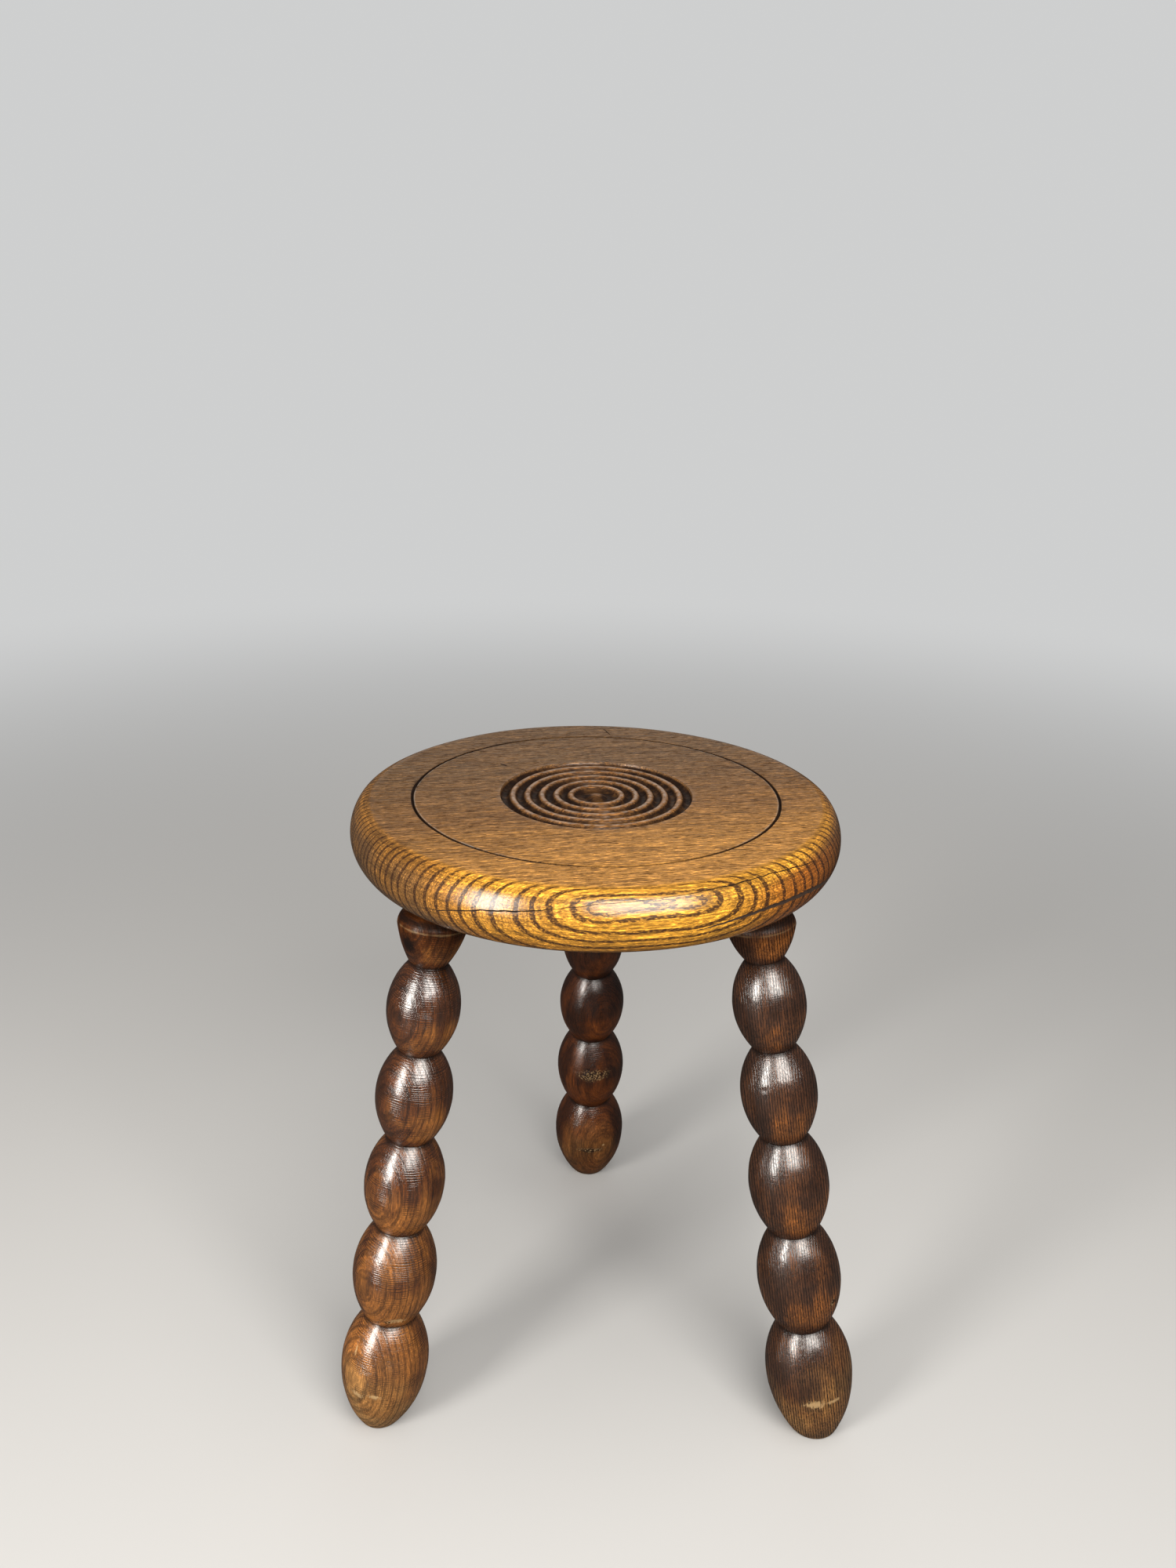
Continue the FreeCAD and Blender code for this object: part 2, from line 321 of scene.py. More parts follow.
class Shade:
    """Adds nodes to a new material. A value is a number, numbers or another node's output."""

    def __init__(self, name):
        self.material = bpy.data.materials.new(name)
        self.material.use_nodes = True
        self.tree = self.material.node_tree
        self.surface = self.tree.nodes["Principled BSDF"]

    def put(self, socket, value):
        if isinstance(value, bpy.types.NodeSocket):
            self.tree.links.new(value, socket)
        else:
            socket.default_value = value

    def node(self, kind, values, output=0, **settings):
        """A new node's output. Values are keyed by the number or the name of their socket."""
        node = self.tree.nodes.new("ShaderNode" + kind)
        for key, setting in settings.items():
            setattr(node, key, setting)
        for socket, value in values.items():
            self.put(node.inputs[socket], value)
        return node.outputs[output]

    def calc(self, operation, *values):
        return self.node("Math", dict(enumerate(values)), operation=operation)

    def blend(self, share, first, second):
        """A mix of two colours."""
        return self.node("Mix", {0: share, 6: first, 7: second}, output=2, data_type="RGBA")

    def tones(self, value, *colours):
        """A colour from evenly spaced ones, by a value from 0 to 1."""
        mixed, steps = colours[0], len(colours) - 1
        for i, colour in enumerate(colours[1:]):
            share = self.ramp(value, i / steps, (i + 1) / steps, kind="LINEAR")
            mixed = self.blend(share, mixed, colour)
        return mixed

    def scaled(self, colour, *factors):
        """A colour made lighter or darker by some factors."""
        for factor in factors:
            colour = self.node("VectorMath", {0: colour, "Scale": factor}, operation="SCALE")
        return colour

    def ramp(self, value, low, high, start=0.0, end=1.0, kind="SMOOTHSTEP"):
        values = dict(enumerate((value, low, high, start, end)))
        return self.node("MapRange", values, interpolation_type=kind)

    def most(self, *values):
        """The largest of some values."""
        largest = values[0]
        for value in values[1:]:
            largest = self.calc("MAXIMUM", largest, value)
        return largest

    def spot(self, point, centre, sizes, ragged):
        """1 inside a ragged oval round a place, 0 outside it."""
        away = self.node("VectorMath", {0: point, 1: centre}, operation="SUBTRACT")
        away = self.node("VectorMath", {0: away, 1: sizes}, operation="DIVIDE")
        away = self.node("VectorMath", {0: away}, output="Value", operation="LENGTH")
        return self.ramp(self.calc("MULTIPLY_ADD", ragged, 2.6, away), 1.3, 0.4)

    def total(self, *weighted):
        """The sum of some values, each given with its weight."""
        added = 0.0
        for value, weight in weighted:
            added = self.calc("MULTIPLY_ADD", value, weight, added)
        return added

    def value(self, name):
        """A value that the mesh carries at its points."""
        return self.node("Attribute", {}, output="Fac", attribute_name=name)

    def grain_point(self, grain_frame):
        """The place in a grain frame, in millimetres."""
        place = grain_frame.copy()
        place.translation *= MM
        point = self.node("TexCoord", {}, output="Object")
        values = {0: point, 1: place.translation, 2: place.to_euler(), 3: (MM, MM, MM)}
        return self.node("Mapping", values, vector_type="TEXTURE")

    def noise(self, point, sizes, detail=2.0, seed=0.0, rough=0.5):
        """Noise about 0.5 with grains of sizes (x, y, z) in the point's units."""
        scaled = self.node("VectorMath", {0: point, 1: [1 / size for size in sizes], 2: (seed,) * 3},
                           operation="MULTIPLY_ADD")
        values = {"Vector": scaled, "Scale": 1.0, "Detail": detail, "Roughness": rough}
        return self.node("TexNoise", values)

    def parts(self, point):
        axes = self.node("SeparateXYZ", {0: point}).node.outputs
        return axes[0], axes[1], axes[2]


def ring_number(shade, depth, edges, width):
    """How many rings lie outside a depth: the first ones from their edges, the rest by width."""
    beyond = shade.calc("DIVIDE", shade.calc("SUBTRACT", depth, edges[-1]), width)
    number = shade.calc("MAXIMUM", beyond, 0.0) if len(edges) > 1 else beyond
    for near, far in zip(edges, edges[1:]):
        number = shade.calc("ADD", number, shade.ramp(depth, near, far, kind="LINEAR"))
    return number


def wood(shade, grain_frame, edges, width, warp, bend=None):
    """The marks of the grain. Each is from 0 to 1, or noise about 0.5."""
    point = shade.grain_point(grain_frame)
    along, across, height = shade.parts(point)
    waver = shade.calc("SUBTRACT", shade.noise(point, (70, 22, 14), detail=1.0, seed=3.7), 0.5)
    ripple = shade.calc("SUBTRACT", shade.noise(point, (6, 1.4, 1.4), detail=3.0, seed=9.1), 0.5)
    depth = shade.calc("MULTIPLY_ADD", waver, warp, across)
    depth = shade.calc("MULTIPLY_ADD", ripple, 0.16 * width, depth)
    if bend:
        depth = bend(shade, depth, along, height)
    number = ring_number(shade, depth, edges, width)
    share = shade.calc("FRACT", number)
    own = shade.node("TexWhiteNoise", {"W": shade.calc("FLOOR", number)}, noise_dimensions="1D")
    start = shade.ramp(share, 0.0, 0.05)
    finish = shade.ramp(shade.calc("MULTIPLY_ADD", own, -0.12, share), 0.20, 0.30, 1.0, 0.0)
    dots = shade.noise(point, (2.6, 0.8, 0.8), detail=1.0, seed=7.7)
    band = shade.calc("MULTIPLY", start, finish)
    layered = shade.node("CombineXYZ", {0: along, 1: depth, 2: height})
    return {
        "point": point,
        "along": along,
        # the dark lines where a ring starts, broken up by their wide pores
        "band": shade.calc("MULTIPLY", band, shade.ramp(dots, 0.30, 0.55, 0.55, 1.0)),
        # short dark dashes along the grain, fine pores, and rays across it
        "dashes": shade.ramp(shade.noise(point, (7, 0.7, 0.7), detail=3.0, seed=2.8, rough=0.6),
                             0.53, 0.60),
        "pores": shade.ramp(shade.noise(point, (3.2, 0.5, 0.5), detail=1.0), 0.47, 0.60),
        "rays": shade.ramp(shade.noise(point, (6, 30, 0.6), detail=1.0, seed=5.3), 0.55, 0.64),
        # light flecks, fine lines that follow the rings, and long streaks
        "flecks": shade.ramp(shade.noise(point, (4, 0.8, 0.8), detail=2.0, seed=12.4), 0.53, 0.65),
        "layers": shade.noise(layered, (22, 0.65, 9), detail=3.0, seed=1.9, rough=0.7),
        "streaks": shade.noise(point, (26, 0.9, 0.9), detail=5.0, seed=14.6, rough=0.8),
    }


def bend_seat_rings(shade, depth, along, height):
    """The seat's rings lean out at the front, and bow out in its middle."""
    aside = shade.calc("ABSOLUTE", along)
    lean = shade.ramp(aside, 30.0, 120.0, RING_LEAN_SHARE, 0.0)
    rise = shade.calc("SUBTRACT", height, (SEAT_TOP - UNDERSIDE) / 2)
    near = shade.ramp(depth, RING_BOW_DEPTH / 5, RING_BOW_DEPTH, 1.0, 0.0)
    bow = shade.calc("MULTIPLY", shade.ramp(aside, 0.0, RING_BOW_REACH, 0.0, RING_BOW), near)
    depth = shade.calc("SUBTRACT", depth, shade.calc("MULTIPLY", lean, rise))
    depth = shade.calc("SUBTRACT", depth, bow)
    return shade.calc("ADD", depth, RING_FRONT_OFFSET)


# The varnished rim from its polished front to its sides, and the worn top from its front backwards. The
# tones are partly patina and partly painted light: lighter at the front as if lit, darker at the sides
# and back as if shaded
RIM_TONES = ((0.88, 0.41, 0.040, 1), (0.46, 0.195, 0.026, 1), (0.18, 0.088, 0.028, 1))
TOP_TONES = ((0.54, 0.255, 0.056, 1), (0.265, 0.124, 0.034, 1), (0.180, 0.092, 0.031, 1))
RUSSET, HOLLOW_BROWN = (0.56, 0.155, 0.014, 1), (0.30, 0.125, 0.036, 1)
# GRIME_AND_SHADE_BLACK is the black of dirt and painted shade in the hollows and on the lower right of
# the rim
BAND_BROWN, GRIME_AND_SHADE_BLACK = (0.040, 0.014, 0.005, 1), (0.010, 0.005, 0.004, 1)
# PAINTED_HIGHLIGHT_PALE is the grey-white of the painted highlights along the scribed line and the ring
# crests
PAINTED_HIGHLIGHT_PALE = (0.42, 0.38, 0.33, 1)


def seat_oak():
    """Golden oak, browned on the top and darkened in the turned hollows, with painted light and shade in
    its tones, hollows and edges.
    """
    shade = Shade("seat_oak")
    bark = seat_grain @ Matrix.Translation((0, -SEAT_RADIUS, 0))
    marks = wood(shade, bark, SEAT_RING_DEPTHS, SEAT_RING_WIDTH, warp=1.6, bend=bend_seat_rings)
    patina_and_shade, table, grime_and_shade = shade.value("patina_and_shade"), shade.value("table"), shade.value("grime_and_shade")
    cloud = shade.calc("SUBTRACT", shade.noise(marks["point"], (60, 25, 25), detail=3.0, seed=2.2), 0.5)
    cloudy = shade.ramp(table, 0.0, 1.0, 0.9, 0.4)
    aged_and_shaded = shade.calc("MULTIPLY_ADD", cloud, cloudy, patina_and_shade)
    # the tones of the rim and the top are partly patina and partly painted light and shade
    rim_tone = shade.blend(shade.value("russet"), shade.tones(aged_and_shaded, *RIM_TONES), RUSSET)
    body = shade.blend(table, rim_tone, shade.tones(aged_and_shaded, *TOP_TONES))
    body = shade.blend(shade.value("hollow"), body, HOLLOW_BROWN)
    # slow bands along the grain, and on the rim the lines of the turning
    slow_bands = shade.noise(marks["point"], (110, 7, 7), detail=2.0, seed=20.5)
    upright = shade.grain_point(Matrix.Identity(4))
    turned_lines = shade.noise(upright, (70, 70, 0.9), detail=3.0, rough=0.7)
    lined = shade.ramp(turned_lines, 0.38, 0.62, 0.58, 1.25, kind="LINEAR")
    body = shade.scaled(
        body,
        shade.ramp(marks["layers"], 0.36, 0.62, 0.55, 1.25, kind="LINEAR"),
        shade.ramp(marks["streaks"], 0.38, 0.62, 0.46, 1.50, kind="LINEAR"),
        shade.ramp(slow_bands, 0.38, 0.62, 0.88, 1.1, kind="LINEAR"),
        shade.ramp(table, 0.0, 1.0, lined, 1.0),
        shade.ramp(marks["flecks"], 0.0, 1.0, 1.0, 1.8),
    )
    banded = shade.calc("MULTIPLY", marks["band"], shade.ramp(table, 0.0, 1.0, 0.96, 0.25))
    dashed = shade.calc("MULTIPLY", marks["dashes"], shade.ramp(table, 0.0, 1.0, 0.45, 0.80))
    dark = shade.most(banded, dashed, shade.calc("MULTIPLY", marks["pores"], 0.35),
                      shade.calc("MULTIPLY", marks["rays"], 0.22))
    body = shade.blend(dark, body, BAND_BROWN)
    # dirt and painted shade: black in the turned hollows and the scribed line, and a painted shadow
    # along the lower right of the rim
    body = shade.blend(shade.calc("MULTIPLY", grime_and_shade, 0.96), body, GRIME_AND_SHADE_BLACK)
    # painted highlights on the scribed line's inner edge and on the ring crests
    body = shade.blend(shade.value("pale"), body, PAINTED_HIGHLIGHT_PALE)
    shade.put(shade.surface.inputs["Base Color"], body)
    coat = shade.calc("SUBTRACT", shade.value("gloss"), shade.calc("MULTIPLY", dark, 0.2))
    coat = shade.calc("MULTIPLY", coat, shade.ramp(grime_and_shade, 0.0, 1.0, 1.0, 0.15))
    relief = shade.total((marks["pores"], -0.4), (marks["band"], -0.6), (marks["dashes"], -0.5),
                         (marks["layers"], 0.7), (marks["streaks"], 0.7), (turned_lines, 0.4))
    finish_varnish(shade, relief, coat, shade.most(dark, grime_and_shade), 0.16, 0.22, 1.75)
    return shade.material


def finish_varnish(shade, relief, coat, dull, film, coat_roughness, coat_ior):
    """The sheen of old varnish over an open grain. A low film strength leaves the coat smooth."""
    surface = shade.surface.inputs
    shade.put(surface["Roughness"], shade.ramp(dull, 0.0, 1.0, 0.42, 0.75))
    for socket, strength in (("Normal", 0.9), ("Coat Normal", film)):
        bump = shade.node("Bump", {"Height": relief, "Distance": 0.15 * MM, "Strength": strength})
        shade.put(surface[socket], bump)
    shade.put(surface["Coat Weight"], coat)
    surface["Specular IOR Level"].default_value = 0.1
    surface["Coat Roughness"].default_value = coat_roughness
    surface["Coat IOR"].default_value = coat_ior


CRACK_DIRT, CRACK_DUST = (0.012, 0.006, 0.004, 1), (0.05, 0.026, 0.014, 1)


def crack_inside():
    """Bare, dirty wood inside the drying cracks and the bores."""
    shade = Shade("crack_inside")
    dusty = shade.noise(shade.grain_point(Matrix.Identity(4)), (2, 2, 2), detail=3.0)
    shade.put(shade.surface.inputs["Base Color"], shade.blend(dusty, CRACK_DIRT, CRACK_DUST))
    shade.surface.inputs["Roughness"].default_value = 0.9
    return shade.material


# Each leg's wood: the way its rings face, round the leg from its outer side, and the rings' width,
# how much lighter it gets towards the foot, and how strongly the ring lines, the pores and the
# lines of the turning show
LEG_WOODS = {
    "leg_front_left": {"facing": 18.0, "width": 3.6, "fading": 0.55,
                       "rings": 0.58, "pores": 0.40, "turning": 1.3},
    "leg_front_right": {"facing": 25.0, "width": 1.6, "fading": 0.15,
                        "rings": 1.0, "pores": 0.60, "turning": 0.22},
    "leg_rear": {"facing": 205.0, "width": 3.6, "fading": 0.35,
                 "rings": 0.35, "pores": 0.35, "turning": 0.8},
}
# The tones of each leg's stain, from dark to light
STAINS = {
    "leg_front_left": ((0.034, 0.009, 0.002, 1), (0.120, 0.035, 0.007, 1), (0.40, 0.145, 0.027, 1)),
    "leg_front_right": ((0.034, 0.012, 0.005, 1), (0.095, 0.034, 0.012, 1), (0.30, 0.100, 0.020, 1)),
    "leg_rear": ((0.012, 0.003, 0.001, 1), (0.050, 0.013, 0.003, 1), (0.17, 0.045, 0.008, 1)),
}
WORN_FOOT, BARE_WOOD = (0.48, 0.24, 0.072, 1), (0.58, 0.38, 0.18, 1)
LEG_BLACK = (0.008, 0.004, 0.003, 1)
# How glossy each leg still is, and how far its foot is worn
POLISHES = {"leg_front_left": 1.0, "leg_front_right": 0.9, "leg_rear": 0.5}
FOOT_WEARS = {"leg_front_left": 1.0, "leg_front_right": 0.7, "leg_rear": 0.25}
# How far apart the fine turned lines lie on a leg
TURNING_PITCH = 1.3

# Scars on the legs: drop down the leg, angle round it, half length and half width
PALE_SCARS = {
    "leg_front_left": ((283.5, 72.0, 2.6, 5.5), (309.5, 12.0, 10.0, 1.0), (338.5, 27.0, 1.8, 4.0),
                       (336.0, 52.0, 1.7, 3.4)),
    "leg_front_right": ((338.7, -62.0, 2.8, 6.5), (339.6, -36.0, 1.3, 5.0)),
    "leg_rear": ((327.0, 206.0, 0.9, 1.4),),
}
DARK_SCARS = {
    "leg_front_left": ((31.6, 18.0, 7.4, 6.2),),
    "leg_front_right": ((272.5, -12.5, 1.4, 2.0),),
    "leg_rear": ((246.0, 176.0, 0.8, 1.6),),
}
# Rough places, where the turning tore dark pits with pale edges
PITTED_SCARS = {
    "leg_front_left": ((285.0, 60.0, 1.6, 4.0),),
    "leg_front_right": ((272.5, -16.0, 3.0, 2.6),),
    "leg_rear": ((252.0, 187.0, 5.0, 13.0), (331.0, 184.0, 2.4, 11.0)),
}


def scarred(shade, point, name, scars, ragged):
    """1 on the scars of a leg, 0 elsewhere."""
    profile = leg_outline(name)
    masks = []
    for drop, angle, length, width in scars:
        radius, turn = np.interp(-drop, profile[:, 1], profile[:, 0]), math.radians(angle)
        centre = (radius * math.cos(turn), radius * math.sin(turn), -drop)
        masks.append(shade.spot(point, centre, (width, width, length), ragged))
    return shade.most(*masks)


def leg_oak(name):
    """Dark stained oak, blacker in the necks with dirt and painted shade, and worn pale at the foot."""
    own_wood = LEG_WOODS[name]
    rings, pores, turning = own_wood["rings"], own_wood["pores"], own_wood["turning"]
    shade = Shade("oak_" + name)
    facing = math.radians(own_wood["facing"])
    across = Vector((math.cos(facing), math.sin(facing), 0))
    grain = PLACES[name] @ Matrix((UP, across, UP.cross(across))).transposed().to_4x4()
    marks = wood(shade, grain, (0.0,), own_wood["width"], warp=0.5 * own_wood["width"])
    grime_and_shade, wear, rubbed = shade.value("grime_and_shade"), shade.value("wear"), shade.value("rubbed")
    point = marks["point"]
    cloud = shade.noise(point, (45, 14, 14), detail=3.0, seed=4.4)
    faded = shade.ramp(marks["along"], -60.0, -340.0, 0.0, own_wood["fading"])
    tone = shade.total((rubbed, 0.45), (shade.ramp(cloud, 0.36, 0.64, 0.10, 0.5), 1.0), (faded, 1.0))
    body = shade.tones(tone, *STAINS[name])
    worn = shade.calc("MULTIPLY", wear, shade.ramp(cloud, 0.40, 0.58, 0.5, 1.0))
    body = shade.blend(worn, body, WORN_FOOT)
    body = shade.scaled(
        body,
        shade.ramp(marks["layers"], 0.36, 0.62, 0.60, 1.25, kind="LINEAR"),
        shade.ramp(marks["streaks"], 0.38, 0.62, 0.70, 1.30, kind="LINEAR"),
        shade.ramp(marks["flecks"], 0.0, 1.0, 1.0, 1.4),
    )
    # the fine lines of the turning, deep in some places and lost in others
    waver = shade.noise(point, (5, 40, 40), detail=3.0, seed=8.8)
    phase = shade.total((marks["along"], 2 * math.pi / TURNING_PITCH), (waver, 16.0))
    depth = shade.ramp(shade.noise(point, (12, 14, 14), detail=2.0, seed=17.3), 0.40, 0.60, 0.25, 1.0)
    turned_lines = shade.calc("MULTIPLY", shade.ramp(shade.calc("SINE", phase), 0.2, 0.95), depth)
    dark = shade.most(shade.calc("MULTIPLY", turned_lines, 0.6 * turning),
                      shade.calc("MULTIPLY", marks["band"], rings),
                      shade.calc("MULTIPLY", marks["dashes"], pores),
                      shade.calc("MULTIPLY", marks["pores"], 0.4 * pores))
    ragged = shade.calc("SUBTRACT", shade.noise(point, (2.5, 1.3, 1.3), detail=3.0, seed=3.1), 0.5)
    uneven = shade.calc("MULTIPLY", ragged, 0.4)
    own_point = shade.grain_point(PLACES[name])
    pale = scarred(shade, own_point, name, PALE_SCARS[name], ragged)
    knots = scarred(shade, own_point, name, DARK_SCARS[name], uneven)
    pitted = scarred(shade, own_point, name, PITTED_SCARS[name], uneven)
    torn = shade.noise(own_point, (1.2, 1.2, 1.0), detail=2.0, seed=6.4)
    pits = shade.calc("MULTIPLY", pitted, shade.ramp(torn, 0.50, 0.42))
    edges = shade.calc("MULTIPLY", pitted, shade.ramp(torn, 0.52, 0.58))
    body = shade.blend(shade.most(dark, shade.calc("MULTIPLY", pitted, 0.55)), body, LEG_BLACK)
    bare = shade.most(shade.calc("MULTIPLY", pale, 0.8), shade.calc("MULTIPLY", edges, 0.6),
                      shade.value("bare"))
    body = shade.blend(bare, body, BARE_WOOD)
    # the necks and the shoulder groove are darkened with dirt and painted shade, together with the knots
    # and the pits
    grime_and_shade = shade.most(shade.calc("MULTIPLY", grime_and_shade, 0.85), shade.calc("MULTIPLY", knots, 0.95),
                       shade.calc("MULTIPLY", pits, 0.9))
    body = shade.blend(grime_and_shade, body, LEG_BLACK)
    shade.put(shade.surface.inputs["Base Color"], body)
    lost = shade.most(shade.calc("MULTIPLY", dark, 0.5), shade.calc("MULTIPLY", wear, 0.4), bare, grime_and_shade)
    # the sheen is duller close under the seat, where hands seldom reach
    polish = POLISHES[name]
    coat = shade.calc("MULTIPLY", shade.ramp(marks["along"], -22.0, -55.0, 0.07 * polish, polish),
                      shade.calc("SUBTRACT", 1.0, shade.calc("MULTIPLY", lost, 0.8)))
    relief = shade.total((marks["pores"], -0.2), (marks["band"], -1.1 * rings),
                         (marks["dashes"], -0.9 * pores), (marks["layers"], 0.5),
                         (turned_lines, -0.9 * turning), (pits, -2.5))
    finish_varnish(shade, relief, coat, shade.most(dark, grime_and_shade), 0.42, 0.18, 2.2)
    return shade.material


# The seat

# The middle of the stretch of rim that hands have polished golden, which is also painted lighter as if
# lit by the lamps in front
POLISHED_AND_LIT_AZIMUTH = -75.0


def seat_patina_and_shade(points, azimuth, on_top, below):
    """How brown the varnish is, 0 where the rim is polished golden and 1 where it is brownest: partly
    patina and partly painted light and shade.
    """
    height = points[:, 2]
    from_front = np.abs((azimuth - POLISHED_AND_LIT_AZIMUTH + 180) % 360 - 180)
    sideways = np.where(azimuth > POLISHED_AND_LIT_AZIMUTH, 1.5, 1.2) * from_front
    # painted shade makes the rim browner near its lower edge; its upper edge is lighter, partly worn and
    # partly a painted highlight
    low_rim_shade = 0.35 * smooth(height, UNDERSIDE + 13.0, UNDERSIDE + 3.0)
    high_rim_wear_and_highlight = 0.25 * smooth(height, SEAT_TOP - 9.0, SEAT_TOP - 2.0)
    # the upper edge of the rim stays golden further round on the right, partly worn and partly a painted
    # highlight
    on_right = smooth(azimuth, -72.0, -45.0) * smooth(azimuth, 12.0, -20.0)
    high_rim_wear_and_highlight += 0.4 * on_right * smooth(height, SEAT_TOP - 6.0, SEAT_TOP - 1.5)
    # away from its front the rim darkens towards its sides: partly patina and partly painted shade
    rim_patina_and_shade = 0.95 * smooth(sideways, 12.0, 85.0) + low_rim_shade - high_rim_wear_and_highlight
    # the top is lighter at its front and darker towards the back and left: partly wear and partly
    # painted light
    top_patina_and_shade = smooth(0.85 * points[:, 1] - 0.28 * points[:, 0], -120.0, 70.0)
    patina_and_shade = np.where(height > (SEAT_TOP + UNDERSIDE) / 2, on_top * top_patina_and_shade, below)
    return patina_and_shade + (1 - on_top - below) * rim_patina_and_shade


def seat_grime_and_shade(points, radius, azimuth, on_top, in_recess, crossing):
    """How dark the wood is: black in the turned hollows, as dirt and painted shade, and darkened on the
    right of the rim, as stain and painted shadow.
    """
    height = points[:, 2]
    # the hollows darken with their depth: dirt and painted shade
    sunk = smooth(SEAT_TOP - height, 0.6, 1.7) * in_recess
    patches = 1 - 0.35 * np.maximum(swings(points, (5, 5, 5), seed=4.1), 0)
    sunk *= patches * (0.76 + 0.24 * smooth(crossing, 0.1, 0.7))
    scribed = smooth(SEAT_TOP - height, 0.0, 0.15) * (np.abs(radius - SCRIBE_RADIUS) < SCRIBE_WIDTH)
    scribed *= 0.68 + 0.32 * smooth(crossing, 0.12, 0.5)
    # the darkening is faint on the whole side of the rim and black along its lower edge: stain and
    # painted shadow
    stained_and_shaded = smooth(azimuth, -52.0, -16.0) * smooth(azimuth, 75.0, 25.0) * (1 - on_top)
    wavy_height = height + 2.5 * swings(points, (14, 14, 14), seed=9.1)
    low_part = smooth(wavy_height, SEAT_TOP - 11.0, SEAT_TOP - 25.0)
    stained_and_shaded *= 0.46 * smooth(height, SEAT_TOP - 3.0, SEAT_TOP - 9.0) + 0.46 * low_part
    return np.maximum(np.maximum(sunk, scribed), stained_and_shaded)


def seat_painted_highlights(points, radius, in_recess, crossing):
    """How strong the painted highlights are: thin pale lines on the scribed line's inner edge and on the
    crests of the rings.
    """
    height = points[:, 2]
    # a painted highlight on the inner edge of the scribed line, where it was cut across the grain
    from_edge = np.abs(SCRIBE_RADIUS - SCRIBE_WIDTH / 2 - 0.25 - radius)
    edge = smooth(from_edge, 0.5, 0.1) * smooth(crossing, 0.35, 0.75) * (height > SEAT_TOP - 2)
    # a painted highlight in a thin line along the crests of the rings
    crests = in_recess * smooth(SEAT_TOP - RING_SINK - height, 0.5, 0.05) * smooth(radius, 2.0, 4.0)
    broken_up = smooth(swings(points, (3, 3, 3), seed=3.3), -0.5, 0.2)
    return np.maximum(0.4 * edge, 0.34 * crests) * broken_up


def seat_values(mesh):
    """Gives the seat's mesh the values that its wood reads at each point."""
    points = mesh_points(mesh)
    radius, height = np.hypot(points[:, 0], points[:, 1]), points[:, 2]
    azimuth = np.degrees(np.arctan2(points[:, 1], points[:, 0]))
    crossing = np.abs(np.cos(np.radians(azimuth - SEAT_GRAIN)))
    on_top = smooth(radius, 142.0, 135.5) * smooth(height, SEAT_TOP - 5.0, SEAT_TOP - 1.0)
    below = smooth(radius, 146.0, 138.0) * smooth(height, UNDERSIDE + 9.0, UNDERSIDE + 2.0)
    flat = np.maximum(on_top, below)
    in_recess = (height > UNDERSIDE + 30) * smooth(radius, RECESS_RADIUS + 0.3, RECESS_RADIUS - 0.6)
    reddened = smooth(azimuth, -66.0, -40.0) * smooth(azimuth, -2.0, -38.0)
    reddened *= smooth(height, SEAT_TOP - 3.0, SEAT_TOP - 10.0)
    set_value(mesh, "patina_and_shade", seat_patina_and_shade(points, azimuth, on_top, below))
    set_value(mesh, "table", flat)
    set_value(mesh, "russet", 0.75 * (1 - flat) * reddened)
    set_value(mesh, "hollow", 0.55 * in_recess)
    set_value(mesh, "gloss", 0.08 * below + on_top * (0.18 + 0.32 * in_recess) + 1 - flat)
    set_value(mesh, "grime_and_shade", seat_grime_and_shade(points, radius, azimuth, on_top, in_recess, crossing))
    set_value(mesh, "pale", seat_painted_highlights(points, radius, in_recess, crossing))


def press_scribe(points):
    """Cuts the scribed line, deep where it crosses the grain and torn shallow along it."""
    radius, azimuth = np.hypot(points[:, 0], points[:, 1]), np.arctan2(points[:, 1], points[:, 0])
    crossing = np.abs(np.cos(azimuth - math.radians(SEAT_GRAIN)))
    tear = swings(points, (9, 9, 9), seed=6.5)
    deep = 0.52 + 0.48 * smooth(crossing, 0.1, 0.55) + 0.3 * tear
    wander = 0.25 * swings(points, (14, 14, 14), seed=2.5)
    share = np.abs(radius + wander - SCRIBE_RADIUS) / (SCRIBE_WIDTH / 2)
    top = points[:, 2] > SEAT_TOP - 0.01
    points[:, 2] -= top * SCRIBE_DEPTH * np.clip(deep, 0.12, 1.0) * np.clip(1 - share, 0, 1)


def age_seat(points):
    """The slight unevenness of a hand-turned, long-used seat."""
    radius = np.hypot(points[:, 0], points[:, 1])
    outer = smooth(radius, 125.0, 148.0)
    swell = 1 + outer * 0.22 * swings(points, (55, 55, 30), seed=1.3) / SEAT_RADIUS
    top = smooth(points[:, 2], UNDERSIDE + 5, SEAT_TOP - 3)
    grain = moved(points, seat_grain.inverted())
    ridged = smooth(radius, RECESS_RADIUS, RECESS_RADIUS - 1) * top
    torn = np.maximum(swings(grain, (5.0, 1.3, 3.0), seed=8.2) - 0.05, 0)
    points[:, 2] += top * 0.12 * swings(points, (70, 40, 70), seed=7.1) - ridged * 0.55 * torn
    points[:, :2] *= swell[:, None]


def bore_cutter(place):
    """A closed cylinder for a leg's bore, which also runs out below the underside."""
    low, high = -BORE_OVERRUN, TENON_LENGTH + GLUE_POCKET
    radius = TENON_RADIUS + GLUE_GAP
    outline = np.array([(0, low), (radius, low), (radius, high), (0, high)])
    points, faces = turned(outline, BORE_SEGMENTS)
    return moved(points, place), faces


